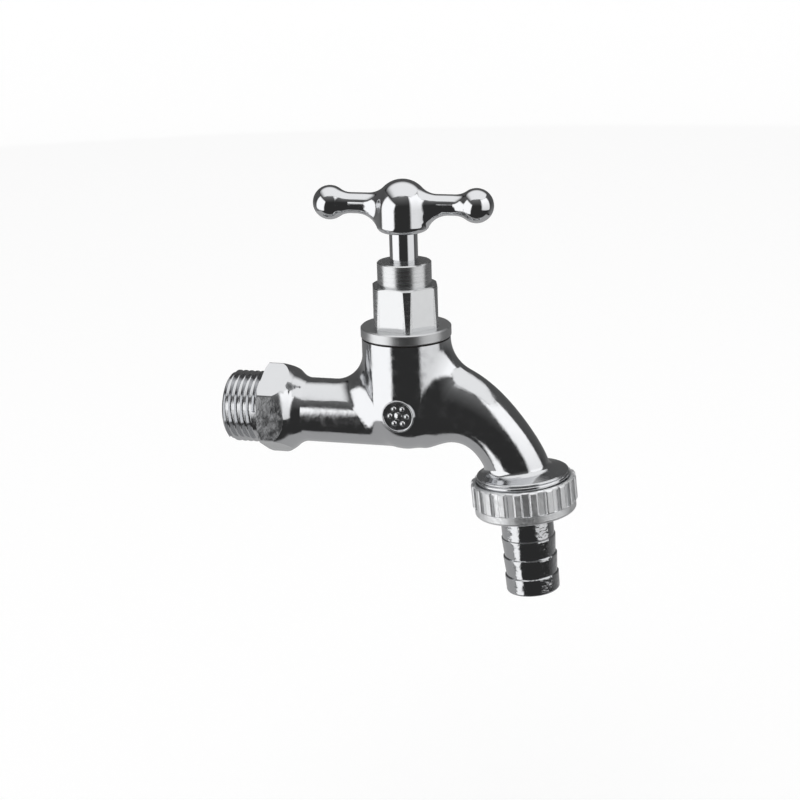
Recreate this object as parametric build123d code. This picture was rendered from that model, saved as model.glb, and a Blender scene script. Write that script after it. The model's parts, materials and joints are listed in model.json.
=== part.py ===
from build123d import *
from build123d.topology import SkipClean
import math
import os

os.makedirs("parts", exist_ok=True)

# Garden tap with a T handle and a hose union, in millimetres.
# Origin: inlet axis at the wall side of the inlet hexagon. +X leads out of the
# wall to the spout, +Z up along the spindle, +Y to the tap's left-hand side.

# Pipe threads: 55 degree flanks, 14 turns to the inch
PITCH = 1.814
THREAD_DEPTH = 0.6403 * PITCH
THREAD_ROOT = 0.3
INLET_THREAD_D = 20.955
INLET_THREAD_LEN = 11.5
UNION_THREAD_D = 26.441
UNION_THREAD_LEN = 5.7
THREAD_END_CHAMFER = 1.3
THREAD_ARCS = 6         # arcs that one turn of the inlet thread's crest is divided into
THREAD_COLLAR = 0.35    # plain ring left between the inlet thread and the hexagon

# Fits
RUN_GAP = 0.04        # radial gap of a turning fit
THREAD_GAP = 0.06     # radial gap between mating threads drawn plain
FACE_GAP = 0.05       # gap between faces that meet and part again
SCREW_GAP = 0.05      # radial gap of a fastener's thread drawn plain

# Body: inlet neck, barrel and spout
STEM_X = 42.5
WATERWAY_R = 5.5
NECK_R = 9.35
NECK_START_X = 14.0
BARREL_R = 12.7
BARREL_BALL_Z = 3.0
BARREL_TOP_Z = 23.3
NECK_FILLET = 10.0
SPOUT_FILLET = 0.86 * BARREL_R
SPOUT_ARC_R = 30.0
OUTLET_TILT = 4.8
SPOUT_END_R = 8.35
SPOUT_ROOT_R = 0.74 * BARREL_R
# Spout sections: angle along the arc, half width, reach inside and outside the arc
SPOUT_SECTIONS = [(-15, SPOUT_ROOT_R, 1.157 * BARREL_R, 12.2), (0, SPOUT_ROOT_R, 1.2 * BARREL_R, 12.2),
                  (14, SPOUT_ROOT_R - 0.1, 1.11 * BARREL_R, 11.5), (28, SPOUT_ROOT_R - 0.3, 10.7, 10.25),
                  (42, SPOUT_END_R + 0.4, 8.8, 8.9), (60, SPOUT_END_R + 0.15, 8.85, 8.5),
                  (90 - OUTLET_TILT, SPOUT_END_R, SPOUT_END_R, SPOUT_END_R)]

# Inlet hexagon, turned from an ogee
HEX_AF = 23.6
HEX_TURNED_R = 13.5
HEX_CHAMFER_R = 12.6
HEX_CHAMFER_X = 0.6
OGEE_START_X = 5.0
OGEE_MID_X = 9.3
OGEE_MID_R = 10.9

# Maker's roundel on the barrel, left plain
ROUNDEL_X = STEM_X + 0.6
ROUNDEL_Z = 3.3
ROUNDEL_R = 4.7
ROUNDEL_RIM = 0.6
ROUNDEL_PROUD = 0.4
ROUNDEL_SUNK = 0.55
DOME_H = 0.45
DOME_R = 1.2
BEAD_R = 0.8
BEAD_RING_R = 2.45
BEADS = 6

# Outlet: axis leans out from the wall
OUTLET_X = 76.05
OUTLET_Z = -16.4
OUTLET_ARC_END = 5.3
OUTLET_RIM_R = 13.2
OUTLET_STEP_R = 13.4
OUTLET_MOUTH_R = 9.0
OUTLET_FILLET = 2.0

# Valve chamber and seat
CHAMBER_R = 9.3
CHAMBER_FLOOR_Z = 8.0
SEAT_Z = 9.55
SEAT_R = 7.0
CHAMBER_THREAD_R = 9.9
CHAMBER_THREAD_Z = 14.6
INLET_END_X = 46.5
PASSAGE_START = (48.3, 15.5)
PASSAGE_TURN = 45.0

# Headwork
BONNET_SPIGOT_Z = 14.8
BONNET_WASHER_T = 0.5
BONNET_WASHER_R = 12.2
BONNET_FLANGE_R = 12.95
BONNET_FLANGE_T = 3.0
BONNET_HEX_AF = 18.0
BONNET_HEX_R = 10.05
BONNET_HEX_TAPER = 0.25
BONNET_HEX_H = 12.0
BONNET_HEX_TURN = 19.0
COLLAR_R = 7.7
COLLAR_H = 6.5
LIFT = 5.0
LIFT_LEAD = 2.0

# Spindle
STEM_R = 4.0
SEAL_R = 5.5
SPINDLE_THREAD_R = 6.5
O_RING_WIRE_R = 0.58
O_RING_ZS = {"lower": 32.2, "upper": 35.2}
SPINDLE_BOTTOM_Z = 14.3
SPINDLE_PILOT_R = 5.0
SPINDLE_THREAD_Z = (17.6, 25.2)
SEAL_TOP_Z = 37.4
SQUARE_Z = (55.3, 62.0)
SQUARE_AF = 5.6
CLIP_Z = 18.9
CLIP_WIRE = 0.7

# Jumper that carries the rubber washer
JUMPER_R = 8.1
JUMPER_T = 1.6
JUMPER_STEM_R = 2.5
JUMPER_STEM_TOP_Z = 20.4
TAP_WASHER_R = 7.5
TAP_WASHER_T = 3.0
WASHER_SCREW_R = 1.7
SCREW_HEAD_R = 3.6
SCREW_HEAD_T = 1.4

# Handle
HUB_R = 7.5
HUB_BOTTOM_Z = 53.7
HUB_BALL_Z = 61.0
HUB_FOOT_R = 5.3
ARM_Z = 61.5
ARM_R = 2.95
ARM_BALL_R = 4.85
ARM_BALL_X = 21.25
ARM_BALL_BLEND = 6.0
HUB_BLEND = 7.0
GRUB_R = 2.0
GRUB_Z = 58.8
GRUB_TIP_GAP = 0.05

# Hose union, measured along the outlet axis from the outlet's shoulder
NUT_TOP = 0.45
NUT_BOTTOM = 10.35
NUT_WEB = 1.6
NUT_WALL = 0.87
NUT_RIM_H = 0.4
NUT_LIP_H = 0.45
NUT_RIB_H = 1.05
NUT_RIB_END = 7.65
NUT_RIBS = 20
NUT_RIB_TURN = 84.5
NUT_RIB_W = 2.3
NUT_RIB_ROUND = 0.7
NUT_HOLE_R = 8.0
UNION_WASHER_T = 1.35
UNION_COLLAR_R = 12.9
TAIL_COLLAR_T = 1.5
TAIL_BORE_R = 5.75
TAIL_NECK_R = 7.55
TAIL_BARB_R = 7.8
TAIL_BARB_LOW_R = 7.4
TAIL_LAND = 0.5
TAIL_BARB_START = 17.6
TAIL_BARB_PITCH = 5.75
TAIL_BARBS = 3
TAIL_END = 34.3
TAIL_END_ROUND = 0.7


def outline(start, *steps):
    """Closed face in the XZ plane. A step of two numbers is a straight line to
    that point, one of four an arc through its first point to its second."""
    edges, here = [], start
    for step in steps + (start,):
        end = step[-2:]
        a, b = Vector(here[0], 0, here[1]), Vector(end[0], 0, end[1])
        if len(step) == 4:
            edges.append(Edge.make_three_point_arc(a, Vector(step[0], 0, step[1]), b))
        elif (b - a).length > 1e-9:
            edges.append(Edge.make_line(a, b))
        here = end
    return Face(Wire(edges))


def turned(start, *steps, angle=360):
    """Solid turned about Z from an outline of radius and height."""
    return revolve(outline(start, *steps), Axis.Z, angle)


def rod(radius, low, high):
    """Round bar about Z between two heights."""
    return Pos(0, 0, low) * Cylinder(radius, high - low, align=(Align.CENTER, Align.CENTER, Align.MIN))


def tube(outer, inner, low, high):
    """Ring about Z between two heights."""
    return rod(outer, low, high) - rod(inner, low - 1, high + 1)


def prism(across_flats, low, high, sides=6, turn=0.0):
    """Upright prism about Z. At no turn a corner points along +X."""
    corner_r = across_flats / 2 / math.cos(math.pi / sides)
    section = Rot(0, 0, turn) * RegularPolygon(corner_r, sides)
    return Pos(0, 0, low) * extrude(section, high - low)


def thread_half_top(over):
    """Half width of the thread's groove, a little over its crest."""
    return THREAD_ROOT / 2 + (THREAD_DEPTH + over) * math.tan(math.radians(27.5))


def thread_groove(major_d, low, high):
    """Helical V groove to be cut from a rod of the major diameter."""
    root_r = major_d / 2 - THREAD_DEPTH
    over = 0.4
    half_root, half_top = THREAD_ROOT / 2, thread_half_top(over)
    path = Helix(pitch=PITCH, height=high - low, radius=root_r)
    cutter_plane = Plane(origin=path @ 0, x_dir=(1, 0, 0), z_dir=path % 0)
    section = cutter_plane * Polygon((0, -half_root), (THREAD_DEPTH + over, -half_top),
                                     (THREAD_DEPTH + over, half_top), (0, half_root), align=None)
    return Pos(0, 0, low) * sweep(section, path, is_frenet=True)


ALONG_X = Rot(0, 90, 0)
STEM = Pos(STEM_X, 0, 0)
TILT = math.radians(OUTLET_TILT)
OUT_DIR = Vector(math.sin(TILT), 0, -math.cos(TILT))
OUT_SIDE = Vector(math.cos(TILT), 0, math.sin(TILT))
OUTLET = Plane(origin=(OUTLET_X, 0, OUTLET_Z), x_dir=OUT_SIDE, z_dir=OUT_DIR)
SPOUT_ARC_END = Vector(OUTLET_X, 0, OUTLET_Z) + OUT_DIR * OUTLET_ARC_END
SPOUT_CENTRE = SPOUT_ARC_END - OUT_SIDE * SPOUT_ARC_R


def spout_point(angle, radius=SPOUT_ARC_R):
    """Point about the spout's centre, by its angle round from the top."""
    a = math.radians(angle)
    return SPOUT_CENTRE + Vector(math.sin(a), 0, math.cos(a)) * radius


def spout_skin():
    """Spout, tapering from a tall oval root to a round end that flares into a cone."""
    sections = []
    for angle, half_wide, inside, outside in SPOUT_SECTIONS:
        a = math.radians(angle)
        middle = spout_point(angle, SPOUT_ARC_R + (outside - inside) / 2)
        across, along = (math.sin(a), 0, math.cos(a)), (math.cos(a), 0, -math.sin(a))
        place = Plane(origin=middle, x_dir=across, z_dir=along)
        sections.append(place * Ellipse((inside + outside) / 2, half_wide))
    cone_r = OUTLET_RIM_R - 0.4
    cone = OUTLET * turned((0, -5.1), (cone_r, -1.45), (cone_r, 0), (0, 0))
    skin = loft(sections) + cone
    flare = [e for e in skin.edges() if e.geom_type == GeomType.BSPLINE
             and -6 < OUTLET.to_local_coords(e.center()).Z < -1.5 and e.length < 70]
    return fillet(flare, OUTLET_FILLET)


def body_casting():
    """Barrel with a round bottom, inlet neck and spout, blended together."""
    c = BARREL_R * math.cos(math.radians(45))
    barrel = STEM * turned((0, BARREL_BALL_Z - BARREL_R), (c, BARREL_BALL_Z - c, BARREL_R, BARREL_BALL_Z),
                           (BARREL_R, BARREL_TOP_Z), (0, BARREL_TOP_Z))
    casting = barrel + spout_skin()
    root = [e for e in casting.edges() if e.geom_type == GeomType.BSPLINE
            and e.center().X < STEM_X + BARREL_R + 1 and abs(e.center().Y) > 1]
    casting = fillet(root, SPOUT_FILLET)
    neck = ALONG_X * rod(NECK_R, NECK_START_X - 2, STEM_X)
    casting = casting + neck
    joint = [e for e in casting.edges() if e.geom_type == GeomType.BSPLINE
             and STEM_X - BARREL_R - 1 < e.center().X < STEM_X - 3]
    return fillet(joint, NECK_FILLET)


def inlet_hexagon():
    """Hexagon milled on a turned ogee that runs into the neck."""
    ogee = turned((0, 0), (HEX_CHAMFER_R, 0), (HEX_TURNED_R, HEX_CHAMFER_X), (HEX_TURNED_R, OGEE_START_X),
                  (12.45, 7.3, OGEE_MID_R, OGEE_MID_X), (9.7, 11.2, NECK_R, NECK_START_X),
                  (0, NECK_START_X))
    return ALONG_X * (ogee & prism(HEX_AF, -1, NECK_START_X + 1))


def inlet_screw():
    """Inlet thread with a blunt start. Each turn of its crest is several short faces on one cylinder."""
    crest_r, crest_w = INLET_THREAD_D / 2, PITCH - 2 * thread_half_top(0)
    end, low = -INLET_THREAD_LEN, -INLET_THREAD_LEN - PITCH
    chamfer_r, crest_start = crest_r - THREAD_END_CHAMFER, end + 0.8 * THREAD_END_CHAMFER
    high = -THREAD_COLLAR - thread_half_top(0)
    screw = turned((WATERWAY_R, end), (chamfer_r, end), (crest_r, crest_start),
                   (crest_r, 0), (WATERWAY_R, 0))
    screw -= thread_groove(INLET_THREAD_D, low, high)
    arc = 360 / THREAD_ARCS
    groove_end = 360 * (high - low) / PITCH - 2
    whole_crest = 360 * (crest_start + crest_w / 2 - low - PITCH / 2) / PITCH
    blunt = groove_end + arc * math.ceil((whole_crest - groove_end) / arc)
    slope_end = crest_start + PITCH / 2
    feather = turned((chamfer_r, end), (crest_r, slope_end), (crest_r + 1, slope_end),
                     (crest_r + 1, end - 1), (chamfer_r, end - 1), angle=2 * arc)
    screw -= Rot(0, 0, blunt - 2 * arc) * feather
    sector = turned((0, end - 1), (crest_r + 1, end - 1), (crest_r + 1, 1), (0, 1), angle=arc)
    with SkipClean():
        pieces = [screw & Rot(0, 0, groove_end + arc * i) * sector for i in range(THREAD_ARCS)]
        return ALONG_X * pieces[0].fuse(*pieces[1:])


def outlet_end():
    """Two thin rounded rims at the outlet and the union thread below them."""
    thread_r = UNION_THREAD_D / 2
    length = UNION_THREAD_LEN
    inner = OUTLET_RIM_R - 0.3
    rims = turned((0, -1.45), (OUTLET_RIM_R - 0.4, -1.45), (inner, -1.35),
                  (OUTLET_RIM_R, -1.05, inner, -0.75), (inner, -0.7),
                  (OUTLET_STEP_R - 0.15, -0.55, OUTLET_STEP_R, -0.2), (OUTLET_STEP_R, 0), (0, 0))
    screw = turned((0, -0.1), (thread_r, -0.1), (thread_r, length - 0.9),
                   (thread_r - THREAD_END_CHAMFER, length), (0, length))
    screw -= thread_groove(UNION_THREAD_D, 0.9, length + PITCH)
    return OUTLET * (rims + screw)


def spout_passage():
    """Waterway from the valve chamber down the spout."""
    start = Vector(PASSAGE_START[0], 0, PASSAGE_START[1])
    turn = math.radians(PASSAGE_TURN)
    middle = spout_point(PASSAGE_TURN)
    first = TangentArc(middle, start, tangent=(-math.cos(turn), 0, math.sin(turn)))
    bend_mid = spout_point((PASSAGE_TURN + 90 - OUTLET_TILT) / 2)
    bend = ThreePointArc(middle, bend_mid, SPOUT_ARC_END)
    down = Line(SPOUT_ARC_END, SPOUT_ARC_END + OUT_DIR * 4)
    section = Plane(origin=start, z_dir=first % 1 * -1) * Circle(WATERWAY_R)
    return sweep(section, Wire([Edge.make_three_point_arc(start, first @ 0.5, middle),
                                bend.edge(), down.edge()]))


def low_dome(base_r, floor_y):
    """Ball sunk into the roundel's floor, so that a dome of the given radius stands on it."""
    ball_r = (base_r ** 2 + DOME_H ** 2) / (2 * DOME_H)
    return Pos(0, 0, floor_y + DOME_H - ball_r) * Sphere(ball_r)


def roundel():
    """Round rim on the front of the barrel, and a dome in a ring of beads on its sunk floor."""
    face_y = BARREL_R + ROUNDEL_PROUD
    floor_y, rim_in, bead = face_y - ROUNDEL_SUNK, ROUNDEL_R - ROUNDEL_RIM, ROUNDEL_RIM / 2
    boss = turned((0, BARREL_R - 3), (ROUNDEL_R, BARREL_R - 3), (ROUNDEL_R, face_y - bead),
                  (ROUNDEL_R - bead, face_y, rim_in, face_y - bead), (rim_in, floor_y), (0, floor_y))
    sunk = rod(rim_in, floor_y, face_y + 1)
    beads = low_dome(DOME_R, floor_y) + PolarLocations(BEAD_RING_R, BEADS) * low_dome(BEAD_R, floor_y)
    place = Pos(ROUNDEL_X, 0, ROUNDEL_Z) * Rot(90, 0, 0)
    return place * boss, place * sunk, place * beads


def tap_body():
    boss, sunk, beads = roundel()
    body = body_casting() + inlet_hexagon() + outlet_end() + boss - sunk + beads
    body = body - STEM * rod(CHAMBER_R, CHAMBER_FLOOR_Z, BARREL_TOP_Z + 1)
    body = body - STEM * rod(CHAMBER_THREAD_R, CHAMBER_THREAD_Z, BARREL_TOP_Z + 1)
    body = body - spout_passage()
    body = body + STEM * rod(SEAT_R, CHAMBER_FLOOR_Z - 1.5, SEAT_Z)
    body = body - STEM * rod(WATERWAY_R, 0, SEAT_Z + 1)
    body = body - ALONG_X * rod(WATERWAY_R, -1, INLET_END_X)
    mouth = turned((0, -3.2), (WATERWAY_R, -3.2), (OUTLET_MOUTH_R, 0.5),
                   (OUTLET_MOUTH_R, UNION_THREAD_LEN + 1), (0, UNION_THREAD_LEN + 1))
    body = body - OUTLET * mouth
    with SkipClean():
        return body.fuse(inlet_screw())


FLANGE_Z = BARREL_TOP_Z + BONNET_WASHER_T
HEX_Z = FLANGE_Z + BONNET_FLANGE_T
COLLAR_Z = HEX_Z + BONNET_HEX_H
BONNET_TOP_Z = COLLAR_Z + COLLAR_H
TAP_WASHER_Z = SEAT_Z + FACE_GAP
JUMPER_Z = TAP_WASHER_Z + TAP_WASHER_T
JUMPER_TOP_Z = JUMPER_Z + JUMPER_T


def bonnet_washer():
    return STEM * tube(BONNET_WASHER_R, CHAMBER_THREAD_R + 0.1, BARREL_TOP_Z, FLANGE_Z)


def bonnet():
    """Headwork body: threaded spigot, flange, hexagon and round collar."""
    spigot_r = CHAMBER_THREAD_R - SCREW_GAP
    low = BONNET_SPIGOT_Z
    shell = turned((0, low), (spigot_r - 0.6, low), (spigot_r, low + 0.6), (spigot_r, FLANGE_Z),
                   (BONNET_FLANGE_R - 0.2, FLANGE_Z), (BONNET_FLANGE_R, FLANGE_Z + 0.2),
                   (BONNET_FLANGE_R, HEX_Z - 0.35), (BONNET_FLANGE_R - 0.35, HEX_Z), (0, HEX_Z))
    top_r = BONNET_HEX_R - BONNET_HEX_TAPER
    blank = turned((0, HEX_Z - 0.5), (BONNET_HEX_R, HEX_Z - 0.5), (BONNET_HEX_R, HEX_Z),
                   (top_r, COLLAR_Z - 0.5), (top_r - 0.7, COLLAR_Z), (0, COLLAR_Z))
    hexagon = blank & prism(BONNET_HEX_AF, HEX_Z - 0.5, COLLAR_Z, turn=BONNET_HEX_TURN - 90)
    collar = turned((0, COLLAR_Z - 1), (COLLAR_R, COLLAR_Z - 1), (COLLAR_R, BONNET_TOP_Z - 0.3),
                    (COLLAR_R - 0.3, BONNET_TOP_Z), (0, BONNET_TOP_Z))
    body = shell + hexagon + collar
    seal_r = SEAL_R + RUN_GAP
    thread_r = SPINDLE_THREAD_R + THREAD_GAP
    stop_z = SEAL_TOP_Z + LIFT + 0.2
    body -= rod(JUMPER_R + 0.2, low - 1, JUMPER_TOP_Z + LIFT + 0.6)
    body -= rod(thread_r, low - 1, SPINDLE_THREAD_Z[1] + LIFT + 0.2)
    body -= rod(seal_r, low - 1, stop_z)
    body -= rod(STEM_R + RUN_GAP, low - 1, BONNET_TOP_Z + 1)
    return STEM * body


def spindle():
    """Stem with a square top, two ring grooves, coarse thread and jumper socket."""
    low, high = SPINDLE_THREAD_Z
    core = rod(SPINDLE_PILOT_R, SPINDLE_BOTTOM_Z, low) + rod(SPINDLE_THREAD_R, low, high)
    core += turned((0, high), (SEAL_R, high), (SEAL_R, SEAL_TOP_Z), (0, SEAL_TOP_Z))
    core += rod(STEM_R, SEAL_TOP_Z, SQUARE_Z[0])
    core += prism(SQUARE_AF, *SQUARE_Z, sides=4, turn=45) & rod(STEM_R - 0.3, *SQUARE_Z)
    groove_r = SEAL_R - 2 * O_RING_WIRE_R
    for z in O_RING_ZS.values():
        core -= tube(SEAL_R + 1, groove_r, z - 0.75, z + 0.75)
    core -= rod(JUMPER_STEM_R + 0.1, SPINDLE_BOTTOM_Z - 1, JUMPER_STEM_TOP_Z + 0.6)
    core -= rod(JUMPER_STEM_R + 0.6, CLIP_Z - 0.5, CLIP_Z + 0.5)
    return STEM * core


def spindle_o_ring(z):
    wire = O_RING_WIRE_R
    centre_r = SEAL_R - wire - 0.01
    return Pos(STEM_X, 0, z) * Torus(centre_r, wire - 0.01)


def jumper_clip():
    """Sprung wire ring, open on one side, that holds the jumper in the spindle."""
    half = CLIP_WIRE / 2
    ring = tube(JUMPER_STEM_R + 0.5, JUMPER_STEM_R - 0.25, CLIP_Z - half, CLIP_Z + half)
    opening = Pos(0, JUMPER_STEM_R, CLIP_Z) * Box(1.6, 3, 2)
    return STEM * (ring - opening)


def jumper():
    """Cup that holds the rubber washer, on a stem that sits in the spindle."""
    cup = rod(JUMPER_R, JUMPER_Z, JUMPER_TOP_Z)
    cup += tube(JUMPER_R, TAP_WASHER_R + 0.05, JUMPER_Z - 1.4, JUMPER_Z)
    cup += rod(JUMPER_STEM_R, JUMPER_TOP_Z, JUMPER_STEM_TOP_Z)
    cup -= tube(JUMPER_STEM_R + 1, JUMPER_STEM_R - 0.4, CLIP_Z - 0.5, CLIP_Z + 0.5)
    cup -= rod(WASHER_SCREW_R + SCREW_GAP, JUMPER_Z - 1, JUMPER_TOP_Z + 2.6)
    return STEM * cup


def tap_washer():
    return STEM * tube(TAP_WASHER_R, WASHER_SCREW_R + 0.2, TAP_WASHER_Z, JUMPER_Z)


def washer_screw():
    """Slotted cheese-head screw that holds the rubber washer in its cup."""
    screw = rod(SCREW_HEAD_R, TAP_WASHER_Z - SCREW_HEAD_T, TAP_WASHER_Z)
    screw += rod(WASHER_SCREW_R, TAP_WASHER_Z, JUMPER_TOP_Z + 2.3)
    slot = Pos(0, 0, TAP_WASHER_Z - SCREW_HEAD_T) * Box(2 * SCREW_HEAD_R + 1, 0.9, 1.4)
    return STEM * (screw - slot)


def handle():
    """T bar with a ball on each end, cast in one with its domed hub."""
    c = math.cos(math.radians(45))
    foot = HUB_R - HUB_FOOT_R
    hub = turned((0, HUB_BOTTOM_Z), (HUB_FOOT_R, HUB_BOTTOM_Z),
                 (HUB_FOOT_R + foot * c, HUB_BOTTOM_Z + foot * (1 - c), HUB_R, HUB_BOTTOM_Z + foot),
                 (HUB_R, HUB_BALL_Z), (HUB_R * c, HUB_BALL_Z + HUB_R * c, 0, HUB_BALL_Z + HUB_R))
    reach = ARM_BALL_R + ARM_BALL_BLEND
    drop = ARM_R + ARM_BALL_BLEND
    along = math.sqrt(reach ** 2 - drop ** 2)
    meet = (ARM_BALL_R * drop / reach, ARM_BALL_X - ARM_BALL_R * along / reach)
    lean = math.atan2(along, drop) / 2
    arm_end = ARM_BALL_X - along
    blend_mid = (drop - ARM_BALL_BLEND * math.cos(lean), arm_end + ARM_BALL_BLEND * math.sin(lean))
    knob = turned((0, arm_end - 1), (ARM_R, arm_end - 1), (ARM_R, arm_end),
                  blend_mid + meet, (ARM_BALL_R, ARM_BALL_X, 0, ARM_BALL_X + ARM_BALL_R))
    at_arms = Pos(0, 0, ARM_Z)
    grip = hub + at_arms * ALONG_X * rod(ARM_R, -arm_end, arm_end)
    roots = [e for e in grip.edges() if HUB_R - 2.5 < abs(e.center().X) < HUB_R + 0.5
             and abs(e.center().Z - ARM_Z) < ARM_R + 0.2 and e.length > 2]
    grip = fillet(roots, HUB_BLEND)
    grip += at_arms * (ALONG_X * knob) + at_arms * (Rot(0, -90, 0) * knob)
    grip -= rod(STEM_R + SCREW_GAP, HUB_BOTTOM_Z - 1, SQUARE_Z[0] + 0.1)
    grip -= prism(SQUARE_AF + 0.1, SQUARE_Z[0], SQUARE_Z[1] + 0.5, sides=4, turn=45)
    grip -= Pos(0, 0, GRUB_Z) * Rot(-90, 0, 0) * rod(GRUB_R + SCREW_GAP, 2, HUB_R + 1)
    return STEM * grip


def handle_grub_screw():
    """Socket grub screw in the back of the hub, tight on the stem's square."""
    tip = SQUARE_AF / 2 + GRUB_TIP_GAP
    screw = turned((0, tip), (GRUB_R - 0.5, tip), (GRUB_R, tip + 0.5),
                   (GRUB_R, HUB_R - 0.5), (0, HUB_R - 0.5))
    screw -= prism(2.0, HUB_R - 2.5, HUB_R)
    return STEM * Pos(0, 0, GRUB_Z) * Rot(-90, 0, 0) * screw


def union_nut():
    """Hand nut with raised ribs over its skirt and a plain rim below."""
    web = NUT_BOTTOM - NUT_WEB
    bore_r = UNION_THREAD_D / 2 + THREAD_GAP
    floor_r = bore_r + NUT_WALL
    rim_r, lip_r, rib_r = floor_r + NUT_RIM_H, floor_r + NUT_LIP_H, floor_r + NUT_RIB_H
    shell = turned((0, NUT_TOP), (floor_r + 0.1, NUT_TOP), (lip_r, NUT_TOP + 0.3), (lip_r, NUT_TOP + 0.75),
                   (floor_r, NUT_TOP + 0.9), (floor_r, NUT_RIB_END), (rim_r, NUT_RIB_END + 0.1),
                   (rim_r, NUT_BOTTOM - 1.0), (rim_r - 0.15, NUT_BOTTOM - 0.35, rim_r - 0.7, NUT_BOTTOM),
                   (0, NUT_BOTTOM))
    band = turned((floor_r - 0.4, NUT_TOP), (floor_r + 0.1, NUT_TOP),
                  (rib_r - 0.25, NUT_TOP + 0.3, rib_r, NUT_TOP + 1.0), (rib_r, NUT_RIB_END - 0.5),
                  (rim_r, NUT_RIB_END + 0.1), (floor_r - 0.4, NUT_RIB_END + 0.1))
    foot, crown = NUT_RIB_W / 2 + 0.3, NUT_RIB_W / 2
    rib = Polygon((floor_r - 0.4, -foot), (rib_r - 0.08, -crown), (rib_r - 0.08, crown),
                  (floor_r - 0.4, foot), align=None)
    rib = fillet(rib.vertices().group_by(Axis.X)[-1], NUT_RIB_ROUND)
    bar = extrude(rib, NUT_RIB_END + 1) & band
    nut = shell + [at * bar for at in PolarLocations(0, NUT_RIBS, start_angle=NUT_RIB_TURN)]
    nut -= turned((0, NUT_TOP - 1), (floor_r - 0.35, NUT_TOP - 1), (floor_r - 0.35, NUT_TOP),
                  (bore_r, NUT_TOP + 0.9), (bore_r, web), (0, web))
    nut -= rod(NUT_HOLE_R, web - 1, NUT_BOTTOM + 1)
    return OUTLET * nut


def union_washer():
    top = UNION_THREAD_LEN + FACE_GAP
    return OUTLET * tube(UNION_COLLAR_R, TAIL_BORE_R + 0.3, top, top + UNION_WASHER_T)


def hose_tail():
    """Barbed tail with a collar that the nut draws up against the washer."""
    top = UNION_THREAD_LEN + 2 * FACE_GAP + UNION_WASHER_T
    under = top + TAIL_COLLAR_T
    tail = rod(UNION_COLLAR_R, top, under)
    tail += rod(TAIL_NECK_R, under, TAIL_BARB_START + 0.1)
    for i in range(TAIL_BARBS):
        start = TAIL_BARB_START + i * TAIL_BARB_PITCH
        last = i == TAIL_BARBS - 1
        end = TAIL_END if last else start + TAIL_BARB_PITCH
        low_r = TAIL_BARB_R - 0.1 if last else TAIL_BARB_LOW_R
        barb = turned((0, start), (TAIL_BARB_R - 0.25, start), (TAIL_BARB_R, start + 0.25),
                      (TAIL_BARB_R, start + 0.25 + TAIL_LAND), (low_r, end), (0, end))
        tail += fillet(barb.edges().group_by(Axis.Z)[-1], TAIL_END_ROUND) if last else barb
    tail -= rod(TAIL_BORE_R, top - 1, TAIL_END + 1)
    return OUTLET * tail


NODES = {
    "tap_body": tap_body(),
    "bonnet_washer": bonnet_washer(),
    "bonnet": bonnet(),
    "spindle": spindle(),
    "spindle_o_ring_lower": spindle_o_ring(O_RING_ZS["lower"]),
    "spindle_o_ring_upper": spindle_o_ring(O_RING_ZS["upper"]),
    "jumper_clip": jumper_clip(),
    "jumper": jumper(),
    "tap_washer": tap_washer(),
    "washer_screw": washer_screw(),
    "handle": handle(),
    "handle_grub_screw": handle_grub_screw(),
    "union_nut": union_nut(),
    "union_washer": union_washer(),
    "hose_tail": hose_tail(),
}

for name, shape in NODES.items():
    export_step(shape, f"parts/{name}.step")
    box = shape.bounding_box()
    print(f"{name}: {len(shape.solids())} solid, {shape.volume:.0f} mm3, "
          f"z {box.min.Z:.1f} to {box.max.Z:.1f}")
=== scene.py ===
# %% [markdown]
# # A garden tap in chrome
#
# The tap is a brass casting with turned and cast fittings, all chromed. Its shapes come from the CAD
# model, so this script gives each piece its finish, and builds the small studio that the chrome
# mirrors. Most of what the eye reads as chrome is the room round it, so that room matters as much as
# the metal.

# %% Load the model
import json
import math

import bmesh
import bpy
from mathutils import Matrix, Vector


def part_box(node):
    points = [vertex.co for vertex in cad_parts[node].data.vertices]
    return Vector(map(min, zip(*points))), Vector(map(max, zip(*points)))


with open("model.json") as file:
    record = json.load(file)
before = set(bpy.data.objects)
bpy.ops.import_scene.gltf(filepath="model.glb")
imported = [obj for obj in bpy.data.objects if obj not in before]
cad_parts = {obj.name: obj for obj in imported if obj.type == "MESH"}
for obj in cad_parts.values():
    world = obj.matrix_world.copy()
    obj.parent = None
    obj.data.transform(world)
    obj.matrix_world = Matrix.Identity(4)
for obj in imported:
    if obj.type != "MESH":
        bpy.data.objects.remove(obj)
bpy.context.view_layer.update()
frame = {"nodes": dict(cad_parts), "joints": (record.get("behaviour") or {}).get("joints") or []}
nodes = frame["nodes"]
print("pieces:", sorted(nodes))

# %% [markdown]
# ## Helpers for materials
#
# Every finish is a small tree of nodes. One function adds a node, sets it and wires it, and one
# turns a colour as it is seen on a screen into the linear value that the shader needs. Patterns are
# given by their real size in millimetres.

# %% Material helpers
MM = 0.001


def linear(hex_colour):
    """Linear colour for an sRGB one written as six hexadecimal digits."""
    channels = [int(hex_colour[i:i + 2], 16) / 255 for i in (0, 2, 4)]
    return tuple(c / 12.92 if c <= 0.04045 else ((c + 0.055) / 1.055) ** 2.4 for c in channels) + (1.0,)


def add(tree, kind, inputs=None, **settings):
    """Adds a node. An input that is a socket is wired to it, any other is a plain value."""
    node = tree.nodes.new("ShaderNode" + kind)
    for key, value in settings.items():
        setattr(node, key, value)
    for key, value in (inputs or {}).items():
        if isinstance(value, bpy.types.NodeSocket):
            tree.links.new(value, node.inputs[key])
        else:
            node.inputs[key].default_value = value
    return node


def new_material(name):
    """Empty material, and the tree of nodes that it will hold."""
    material = bpy.data.materials.new(name)
    material.use_nodes = True
    material.node_tree.nodes.clear()
    return material, material.node_tree


def close(tree, shader):
    """Wires the finished surface shader to the material's output."""
    add(tree, "OutputMaterial", {"Surface": shader})


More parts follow.
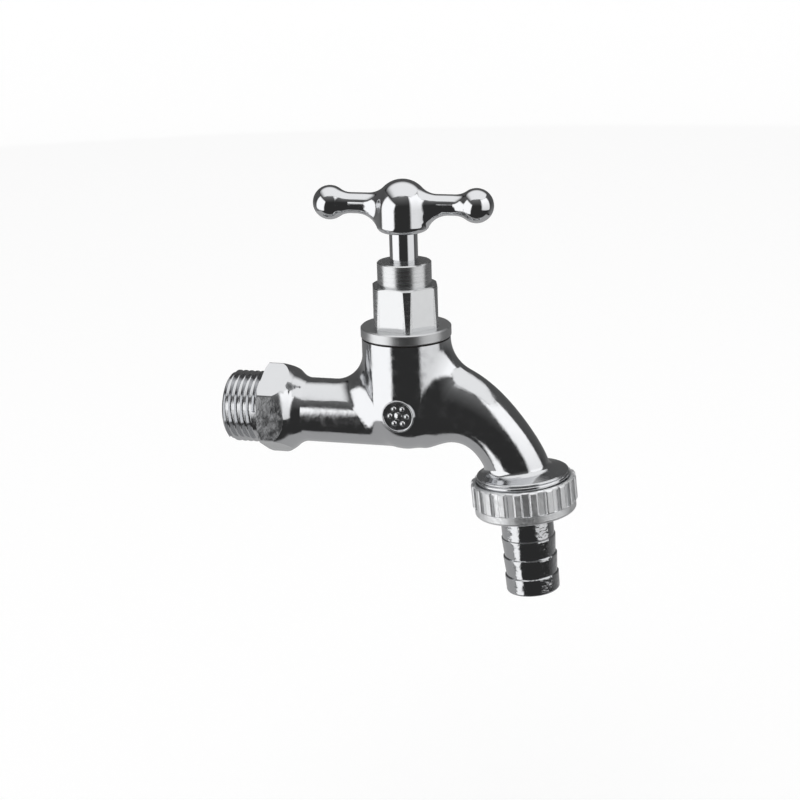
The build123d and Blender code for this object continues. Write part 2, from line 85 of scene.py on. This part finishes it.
def dress(material, *names):
    """Gives pieces of the model their finish."""
    for name in names:
        nodes[name].material_slots[0].material = material
    print(material.name, "is on", ", ".join(names))


print("red as linear:", [round(c, 3) for c in linear("C03020")])

# %% [markdown]
# ## How metal gets its skin
#
# Two things tell one metal skin from another: its relief, which bends reflections, and its roughness,
# which blurs them. Both are patterns of noise here. The relief is a stack of bumps, long waves first
# and fine grain last, and the roughness drifts in patches, because no plating is equally clear all over.

# %% Metal
NOISE_LOW, NOISE_HIGH = 0.35, 0.65      # most of a noise pattern lies between these two values


def relief(tree, coords, layers):
    """Stacks bumps, each a length and depth in mm and a level of detail. Returns the last one's normal."""
    normal = None
    for length_mm, depth_mm, detail in layers:
        noise = add(tree, "TexNoise", {"Vector": coords, "Scale": 1000 / length_mm, "Detail": detail,
                                       "Roughness": 0.55})
        inputs = {"Height": noise.outputs["Fac"], "Distance": depth_mm * MM, "Strength": 1.0}
        if normal is not None:
            inputs["Normal"] = normal
        normal = add(tree, "Bump", inputs).outputs["Normal"]
    return normal


def patches(tree, coords, patch_mm, low, high, detail=3.0):
    """A noise pattern spread between two values, for roughness that isn't the same everywhere."""
    noise = add(tree, "TexNoise", {"Vector": coords, "Scale": 1000 / patch_mm, "Detail": detail})
    return add(tree, "MapRange", {"Value": noise.outputs["Fac"], "From Min": NOISE_LOW,
                                  "From Max": NOISE_HIGH, "To Min": low, "To Max": high}).outputs["Result"]


def metal(name, colour, layers, patch_mm, clear, cloudy, detail=3.0):
    """Metal with a relief, whose roughness drifts between a clear and a cloudy value."""
    material, tree = new_material(name)
    coords = add(tree, "TexCoord").outputs["Object"]
    shader = add(tree, "BsdfPrincipled", {
        "Base Color": linear(colour), "Metallic": 1.0,
        "Roughness": patches(tree, coords, patch_mm, clear, cloudy, detail),
        "Normal": relief(tree, coords, layers)})
    close(tree, shader.outputs["BSDF"])
    return material


print("noise is read from", NOISE_LOW, "to", NOISE_HIGH)

# %% [markdown]
# ## Chromed casting
#
# The body is cast, polished by hand on a wheel and plated. Polishing rounds the corners and leaves
# long, shallow waves and a fine orange peel, so reflections stay bright and sharp but their edges
# wobble. The relief has waves 6 mm long, dimples of 1.8 mm and a peel of about half a millimetre. Where
# the wheel pressed less the plating is cloudy, in patches of 2 mm, and that shows as grey mottling in
# the black reflections.

# %% Chromed casting
casting = metal("chromed_casting_polished", "CDCED0",
                [(6.0, 0.05, 1.0), (1.8, 0.02, 2.0), (0.55, 0.005, 2.0)],
                patch_mm=2.0, clear=0.06, cloudy=0.17, detail=4.0)
dress(casting, "tap_body")

# %% [markdown]
# ## Polished chrome
#
# The stem is turned and the T handle cast, and both are buffed until they mirror. Their relief is less
# than half as deep as the body's and their plating clearer, so the black and white strips stay crisp.

# %% Polished chrome
buffed = metal("chrome_buffed", "D0D1D3", [(6.0, 0.02, 1.0), (2.2, 0.008, 1.0), (0.6, 0.0018, 2.0)],
               patch_mm=1.8, clear=0.03, cloudy=0.12)
dress(buffed, "spindle", "handle")

# %% [markdown]
# ## Thin chrome on the hose tail
#
# The tail is hidden inside a hose, so nobody polishes it. The plating follows the drawn and turned
# brass, with dents 2.4 mm wide and pits of 0.8 mm, and its strips of light break up into flecks.

# %% Tail chrome
unpolished = metal("chrome_unpolished", "C6C7C9", [(2.4, 0.13, 2.0), (0.8, 0.03, 2.0)],
                   patch_mm=1.2, clear=0.06, cloudy=0.16)
dress(unpolished, "hose_tail")

# %% [markdown]
# ## Satin chrome on the nut
#
# The hand nut is cast and only tumbled before plating. Its skin keeps the lumps of the mould, 1.5 mm
# wide, and its grain of about half a millimetre, so it shines softly and without pictures in it.

# %% Satin chrome
satin = metal("chrome_over_tumbled_casting", "EEEFF0", [(1.5, 0.05, 2.0), (0.45, 0.035, 3.0)],
              patch_mm=0.8, clear=0.38, cloudy=0.6)
dress(satin, "union_nut")

# %% [markdown]
# ## Where the bonnet is turned and where it is flat
#
# The bonnet is turned from bar. The tool leaves rings on its flange, on its hexagon's corners and on
# its round collar, while the hexagon's flats are bar stock and smoother. One material can tell them
# apart by the height and the distance from the stem's axis. The heights come from the model's boxes.

# %% Zones of the bonnet
FLANGE_THICKNESS, COLLAR_HEIGHT = 3.0 * MM, 6.5 * MM
FLANGE_LIP = 0.1 * MM               # the flange's finish ends this far over its top
FLATS_START = 0.15 * MM             # the flats start this far over the flange
FLATS_STOP = 0.25 * MM              # and stop this far under the collar, in the turned chamfer
CORNER_RADIUS = 9.72 * MM           # further from the axis, the hexagon's corners are turned

STEM_X = next(joint["pos_m"][0] for joint in frame["joints"] if joint["name"] == "spindle_turn")
hexagon_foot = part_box("bonnet_washer")[1][2] + FLANGE_THICKNESS
hexagon_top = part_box("bonnet")[1][2] - COLLAR_HEIGHT


def bonnet_zones(tree, coords):
    """A line on which each ring of the bonnet is one point, and masks for the flats and the flange."""
    at_stem = add(tree, "VectorMath", {0: coords, 1: (STEM_X, 0, 0)}, operation="SUBTRACT")
    x, y, height = add(tree, "SeparateXYZ", {"Vector": at_stem.outputs["Vector"]}).outputs
    level = add(tree, "CombineXYZ", {"X": x, "Y": y}).outputs["Vector"]
    radius = add(tree, "VectorMath", {0: level}, operation="LENGTH").outputs["Value"]
    along = add(tree, "Math", {0: radius, 1: height}, operation="ADD").outputs["Value"]
    line = add(tree, "CombineXYZ", {"X": along}).outputs["Vector"]
    low, high = hexagon_foot + FLATS_START, hexagon_top - FLATS_STOP
    between = add(tree, "Math", {0: height, 1: (low + high) / 2, 2: (high - low) / 2},
                  operation="COMPARE").outputs["Value"]
    inside = add(tree, "Math", {0: radius, 1: CORNER_RADIUS}, operation="LESS_THAN").outputs["Value"]
    flats = add(tree, "Math", {0: between, 1: inside}, operation="MULTIPLY").outputs["Value"]
    flange = add(tree, "Math", {0: height, 1: hexagon_foot + FLANGE_LIP}, operation="LESS_THAN")
    return line, flats, flange.outputs["Value"]


print("hexagon in mm, from", round(hexagon_foot / MM, 2), "to", round(hexagon_top / MM, 2))

# %% [markdown]
# ## Turned chrome
#
# Plating over fine rings gives a satin sheen instead of a mirror. The flange is the dullest part, the
# collar comes next, and the flats are nearly clear. The rings are noise along the line that the cell
# before gives, about a third of a millimetre apart, and the flats have none.

# %% Turned chrome
RING_MM, RING_DEPTH_MM = 0.35, 0.014


def turned_chrome():
    """Three degrees of sheen on one piece, with rings wherever it was turned."""
    material, tree = new_material("chrome_over_turning_marks")
    coords = add(tree, "TexCoord").outputs["Object"]
    line, flats, flange = bonnet_zones(tree, coords)
    rings = add(tree, "TexNoise", {"Vector": line, "Scale": 1000 / RING_MM, "Detail": 3.0,
                                   "Roughness": 0.7})
    turned_part = add(tree, "Math", {0: 1.0, 1: flats}, operation="SUBTRACT").outputs["Value"]
    ring_height = add(tree, "Math", {0: rings.outputs["Fac"], 1: turned_part}, operation="MULTIPLY")
    ringed = add(tree, "Bump", {"Height": ring_height.outputs["Value"], "Distance": RING_DEPTH_MM * MM,
                                "Normal": relief(tree, coords, [(5.0, 0.02, 1.0), (0.5, 0.0025, 2.0)])})
    collar_sheen = patches(tree, line, patch_mm=1.2, low=0.2, high=0.32)
    flats_sheen = patches(tree, coords, patch_mm=1.5, low=0.09, high=0.16)
    flange_sheen = patches(tree, line, patch_mm=1.2, low=0.3, high=0.38)
    sheen = add(tree, "Mix", {"Factor": flats, "A": collar_sheen, "B": flats_sheen}, data_type="FLOAT")
    sheen = add(tree, "Mix", {"Factor": flange, "A": sheen.outputs["Result"], "B": flange_sheen},
                data_type="FLOAT")
    shader = add(tree, "BsdfPrincipled", {
        "Base Color": linear("CCCDCE"), "Metallic": 1.0,
        "Roughness": sheen.outputs["Result"], "Normal": ringed.outputs["Normal"]})
    close(tree, shader.outputs["BSDF"])
    return material


dress(turned_chrome(), "bonnet")

# %% [markdown]
# ## Brass, steel, rubber and fibre
#
# The works inside are bare: turned brass for the jumper and its screw, plain spring steel for the
# clip and the grub screw, moulded rubber for the seals and dark fibre for the ring under the flange.
# Brass and steel shine softly over a fine grain. Rubber and fibre have a grain but no shine, and their
# colour drifts between a darker and a paler value.

# %% Inner pieces
DRIFT_MM = 1.5


def dull(name, dark, pale, roughness, grain_mm, depth_mm):
    """Moulded or pressed stuff whose colour drifts a little between two values."""
    material, tree = new_material(name)
    coords = add(tree, "TexCoord").outputs["Object"]
    noise = add(tree, "TexNoise", {"Vector": coords, "Scale": 1000 / DRIFT_MM, "Detail": 4.0})
    colour = add(tree, "Mix", {"Factor": noise.outputs["Fac"], "A": linear(dark), "B": linear(pale)},
                 data_type="RGBA")
    shader = add(tree, "BsdfPrincipled", {
        "Base Color": colour.outputs["Result"], "Roughness": roughness,
        "Normal": relief(tree, coords, [(grain_mm, depth_mm, 3.0)])})
    close(tree, shader.outputs["BSDF"])
    return material


finishes = {
    "plain_brass": metal("brass_turned", "D9B56A", [(0.25, 0.006, 3.0)],
                         patch_mm=0.8, clear=0.2, cloudy=0.34),
    "spring_steel": metal("steel_drawn", "B5B6B8", [(0.2, 0.005, 3.0)],
                          patch_mm=0.8, clear=0.25, cloudy=0.4),
    "black_rubber": dull("rubber_moulded", "141414", "202020",
                         roughness=0.6, grain_mm=0.25, depth_mm=0.012),
    "fibre": dull("vulcanised_fibre", "1C1816", "2E2724",
                  roughness=0.7, grain_mm=0.3, depth_mm=0.02),
}
for name, node in nodes.items():
    slot = node.material_slots[0].material.name
    if slot in finishes:
        dress(finishes[slot], name)

# %% [markdown]
# ## The camera
#
# Chrome shows the room, so the room is laid out by what the parts mirror. The camera looks down by 17
# degrees. So an upright wall of the tap mirrors what stands 17 degrees below it, a level top mirrors
# what is as far above it, behind the tap, and an underside mirrors the table. The camera comes first,
# because every angle here is counted from it. Its own place comes from a fit to the tap's edges in the
# photo, taken as 800 pixels square.

# %% Camera
def direction(azimuth, elevation):
    """Unit vector from the object. Azimuth 0 is straight in front of the roundel, 90 the spout's end."""
    a, e = math.radians(azimuth), math.radians(elevation)
    return Vector((math.sin(a) * math.cos(e), -math.cos(a) * math.cos(e), math.sin(e)))


CAMERA_AZ, CAMERA_EL, CAMERA_ROLL = 16.52, 16.66, -1.71
CAMERA_DISTANCE = 518.27 * MM
AIM_HEIGHT, AIM_RIGHT = 4.46 * MM, -2.31 * MM
UP = Vector((0, 0, 1))

back = direction(CAMERA_AZ, CAMERA_EL)
level_right = UP.cross(back).normalized()
level_up = back.cross(level_right)
roll = math.radians(CAMERA_ROLL)
right = level_right * math.cos(roll) + level_up * math.sin(roll)
up = level_up * math.cos(roll) - level_right * math.sin(roll)
look_at = Vector((STEM_X, 0, AIM_HEIGHT)) + level_right * AIM_RIGHT

camera_data = bpy.data.cameras.new("camera")
camera_data.lens, camera_data.sensor_width = 81.0, 36.0
camera_data.clip_start = 0.01
camera = bpy.data.objects.new("camera", camera_data)
bpy.context.scene.collection.objects.link(camera)
camera.matrix_world = Matrix((right, up, back)).transposed().to_4x4()
camera.location = look_at + back * CAMERA_DISTANCE
bpy.context.scene.camera = camera
print("camera at", [round(v, 4) for v in camera.location])

# %% [markdown]
# ## Cards that only the chrome sees
#
# A softbox could be an area lamp, but a lamp has no soft rim and can't be dimmer at its foot. A flat
# card with a glowing cloth can, so the boxes, the table and the ground are cards. Each one is seen in
# reflections and nowhere else, and each is placed from the tap's middle, counted from the camera's
# side. Angles are in degrees here, and everything else is in metres.

# %% Cards
CENTRE = Vector((0.04, 0, 0.008))
front = direction(CAMERA_AZ, 0)


def reflected_only(obj):
    """Leaves an object to be seen in the chrome, and nowhere else."""
    obj.visible_camera = obj.visible_diffuse = obj.visible_shadow = False
    obj.visible_transmission = False


def put(name, mesh, material):
    """Makes an object of a bmesh that is already in its place."""
    data = bpy.data.meshes.new(name)
    mesh.to_mesh(data)
    mesh.free()
    data.materials.append(material)
    obj = bpy.data.objects.new(name, data)
    bpy.context.scene.collection.objects.link(obj)
    return obj


def card(name, centre, normal, width, height, material, upright=UP):
    """Flat card that faces along its normal, with a UV map from corner to corner."""
    normal = Vector(normal).normalized()
    across = upright.cross(normal).normalized()
    climb = normal.cross(across)
    mesh = bmesh.new()
    bmesh.ops.create_grid(mesh, x_segments=1, y_segments=1, size=0.5)
    layer = mesh.loops.layers.uv.new("UVMap")
    for face in mesh.faces:
        for loop in face.loops:
            loop[layer].uv = (loop.vert.co.x + 0.5, loop.vert.co.y + 0.5)
    turn = Matrix((across * width, climb * height, normal)).transposed().to_4x4()
    bmesh.ops.transform(mesh, matrix=Matrix.Translation(centre) @ turn, verts=mesh.verts)
    reflected_only(put(name, mesh, material))


print("cards are placed from", [round(v, 3) for v in CENTRE])

# %% [markdown]
# ## Glowing cloth
#
# The cloth of a softbox is evenly bright in its middle and falls off towards its sides, and that fall
# is what makes the edge of a white strip in chrome soft. The cloth here fades smoothly over a given
# share of the card at each side, and the lower part of it may be dimmer.

# %% Cloth
RIM_GLOW = 0.04             # what is left of the glow at the very edge
FOOT_SHARE = 0.45           # the foot brightens up to this share of the height


def cloth(name, strength, left, right, bottom, top, foot=1.0):
    """Glowing cloth. Each side's fade is a share of the card, and foot is the glow's share at the foot."""
    material, tree = new_material(name)
    place = add(tree, "SeparateXYZ", {"Vector": add(tree, "UVMap").outputs["UV"]}).outputs
    glow = add(tree, "MapRange", {"Value": place["Y"], "From Max": FOOT_SHARE, "To Min": strength * foot,
                                  "To Max": strength}).outputs["Result"]
    for axis, edge, full in (("X", 0, left), ("X", 1, 1 - right), ("Y", 0, bottom), ("Y", 1, 1 - top)):
        fade = add(tree, "MapRange", {"Value": place[axis], "From Min": edge, "From Max": full,
                                      "To Min": RIM_GLOW, "To Max": 1.0}, interpolation_type="SMOOTHSTEP")
        faded = add(tree, "Math", {0: glow, 1: fade.outputs["Result"]}, operation="MULTIPLY")
        glow = faded.outputs["Value"]
    close(tree, add(tree, "Emission", {"Strength": glow}).outputs["Emission"])
    return material


print("cloth fades to", RIM_GLOW, "of its glow at the rim")

# %% [markdown]
# ## Softboxes
#
# Two upright boxes stand a metre from the tap, on either side of the camera, and between them the room
# is dark: on every upright round part that makes a white strip, a black stripe and a second strip. The
# left box reaches far down and leans towards the camera at its top. The right one stands higher, its
# foot is dimmer, and it ends just below what the upright walls mirror. A third box lies overhead and
# meets the right one, so the spout's bright band has no gap in it.

# %% Softboxes
LEFT_ANGLE, LEFT_DROP, LEFT_LEAN = -69, 0.1, 22
RIGHT_ANGLE, RIGHT_RISE = 62.5, 0.683
OVERHEAD_RISE, OVERHEAD_BACK, OVERHEAD_LEFT = 0.9, 0.18, 0.05

left_way = direction(CAMERA_AZ + LEFT_ANGLE, 0)
towards_camera = direction(CAMERA_AZ + LEFT_ANGLE + 90, 0)
lean = math.radians(LEFT_LEAN)
card("softbox_left", CENTRE + left_way - UP * LEFT_DROP, -left_way, width=1.3, height=1.6,
     material=cloth("softbox_left_cloth", 1.5, left=0.13, right=0.13, bottom=0.15, top=0.12),
     upright=UP * math.cos(lean) + towards_camera * math.sin(lean))

right_way = direction(CAMERA_AZ + RIGHT_ANGLE, 0)
card("softbox_right", CENTRE + right_way + UP * RIGHT_RISE, -right_way, width=1.374, height=2.09,
     material=cloth("softbox_right_cloth", 1.52, left=0.168, right=0.2, bottom=0.02, top=0.02, foot=0.64))

overhead = CENTRE - front * OVERHEAD_BACK - level_right * OVERHEAD_LEFT + UP * OVERHEAD_RISE
card("softbox_overhead", overhead, -UP, width=1.74, height=2.1, upright=level_right,
     material=cloth("softbox_overhead_cloth", 1.22, left=0.04, right=0.37, bottom=0.31, top=0.03,
                    foot=0.92))
print("boxes at", LEFT_ANGLE, "and", RIGHT_ANGLE, "degrees from the camera")

# %% [markdown]
# ## Table and ground
#
# A grey table under and behind the tap gives every underside its even grey. It stops just in front of
# the tap, where the lower halves of the parts turn black again, because the ground there is nearly
# black and reaches far past the camera.

# %% Table and ground
TABLE_DROP, TABLE_BACK, TABLE_LEFT = 0.2, 0.278, 0.03
GROUND_DROP = 1.1

table = CENTRE - front * TABLE_BACK - level_right * TABLE_LEFT - UP * TABLE_DROP
card("grey_table", table, UP, width=0.66, height=0.685,
     material=cloth("grey_table_top", 0.47, left=0.02, right=0.02, bottom=0.04, top=0.04), upright=front)
card("dark_ground", CENTRE - UP * GROUND_DROP, UP, width=4.0, height=4.0,
     material=cloth("black_ground", 0.04, left=0.01, right=0.01, bottom=0.01, top=0.01), upright=front)
print("table at", [round(v, 3) for v in table])

# %% [markdown]
# ## Curtain
#
# The curtain is a ring round the set. Behind the camera it is nearly black, and a little paler high up,
# which keeps the black stripes deep. Behind the tap it is dark grey, and paler near its foot, so the
# backs and tops of the parts stay in shade without going black.

# %% Curtain
CURTAIN_RADIUS, CURTAIN_HEIGHT = 1.7, 4.0
BEHIND_CAMERA = {"From Min": 0.3, "From Max": 1.7, "To Min": 0.04, "To Max": 0.2}    # height to glow
BEHIND_TAP = {"From Min": -0.7, "From Max": 0.1, "To Min": 0.27, "To Max": 0.11}
CHANGE_OVER = {"From Min": -1.0, "From Max": 0.3}       # from the tap's back to the camera's side


def curtain_cloth():
    """Shade by height, one way behind the camera and another way behind the tap."""
    material, tree = new_material("curtain_cloth")
    coords = add(tree, "TexCoord").outputs["Object"]
    height = add(tree, "SeparateXYZ", {"Vector": coords}).outputs["Z"]
    depth = add(tree, "VectorMath", {0: coords, 1: tuple(front)}, operation="DOT_PRODUCT")
    near = add(tree, "MapRange", {"Value": height, **BEHIND_CAMERA}).outputs["Result"]
    far = add(tree, "MapRange", {"Value": height, **BEHIND_TAP}).outputs["Result"]
    share = add(tree, "MapRange", {"Value": depth.outputs["Value"], **CHANGE_OVER}).outputs["Result"]
    glow = add(tree, "Mix", {"Factor": share, "A": far, "B": near}, data_type="FLOAT").outputs["Result"]
    close(tree, add(tree, "Emission", {"Strength": glow}).outputs["Emission"])
    return material


mesh = bmesh.new()
bmesh.ops.create_cone(mesh, cap_ends=False, segments=48, radius1=CURTAIN_RADIUS, radius2=CURTAIN_RADIUS,
                      depth=CURTAIN_HEIGHT)
reflected_only(put("curtain", mesh, curtain_cloth()))
print("curtain hangs", CURTAIN_RADIUS, "m out")

# %% [markdown]
# ## Floor
#
# The photo was cut out on plain white. Here a very pale floor runs into a white world, so hardly
# anything shows where the ground is. The chrome doesn't see this floor: it mirrors the table and the
# dark ground in its place.

# %% Floor
FLOOR_Z, FLOOR_HALF = -0.16, 10.0


def floor_material():
    """Flat paint, with a faint glow that lifts it to the white of the world."""
    material, tree = new_material("pale_floor_paint")
    paint = add(tree, "BsdfPrincipled", {
        "Base Color": linear("F4F4F4"), "Roughness": 0.85,
        "Emission Color": (1, 1, 1, 1), "Emission Strength": 0.1})
    close(tree, paint.outputs["BSDF"])
    return material


mesh = bmesh.new()
bmesh.ops.create_grid(mesh, x_segments=1, y_segments=1, size=FLOOR_HALF)
bmesh.ops.translate(mesh, vec=(0, 0, FLOOR_Z), verts=mesh.verts)
floor = put("floor", mesh, floor_material())
floor.visible_glossy = False
print("floor at", FLOOR_Z)

# %% [markdown]
# ## World and sun
#
# The world lights the set evenly from all sides. Looked at directly or in a reflection it is plain
# white, and as a light it is a little weaker, so that pale surfaces don't clip. A very broad sun adds
# a hint of direction, and as chrome would show it as a disc, the chrome doesn't see it.

# %% World and sun
WORLD_LIGHT, WORLD_SEEN = 0.8, 1.0
SUN_STRENGTH, SUN_SPREAD = 0.7, 60
SUN_TILT_X, SUN_TILT_Y = 25, -20

world = bpy.data.worlds.new("studio")
bpy.context.scene.world = world
world.use_nodes = True
tree = world.node_tree
tree.nodes.clear()
path = add(tree, "LightPath")
seen = add(tree, "Math", {0: path.outputs["Is Camera Ray"], 1: path.outputs["Is Glossy Ray"]},
           operation="ADD")
seen = add(tree, "Math", {0: seen.outputs["Value"], 1: path.outputs["Is Transmission Ray"]},
           operation="ADD", use_clamp=True)
strength = add(tree, "MapRange", {"Value": seen.outputs["Value"], "To Min": WORLD_LIGHT,
                                  "To Max": WORLD_SEEN})
sky = add(tree, "Background", {"Color": (1, 1, 1, 1), "Strength": strength.outputs["Result"]})
add(tree, "OutputWorld", {"Surface": sky.outputs["Background"]})

sun_data = bpy.data.lights.new("broad_sun", "SUN")
sun_data.energy = SUN_STRENGTH
sun_data.angle = math.radians(SUN_SPREAD)
sun = bpy.data.objects.new("broad_sun", sun_data)
sun.rotation_euler = (math.radians(SUN_TILT_X), math.radians(SUN_TILT_Y), 0)
sun.visible_glossy = False
bpy.context.scene.collection.objects.link(sun)
bpy.context.scene.view_settings.view_transform = "Standard"
print("world lights with", WORLD_LIGHT, "and shows as", WORLD_SEEN)
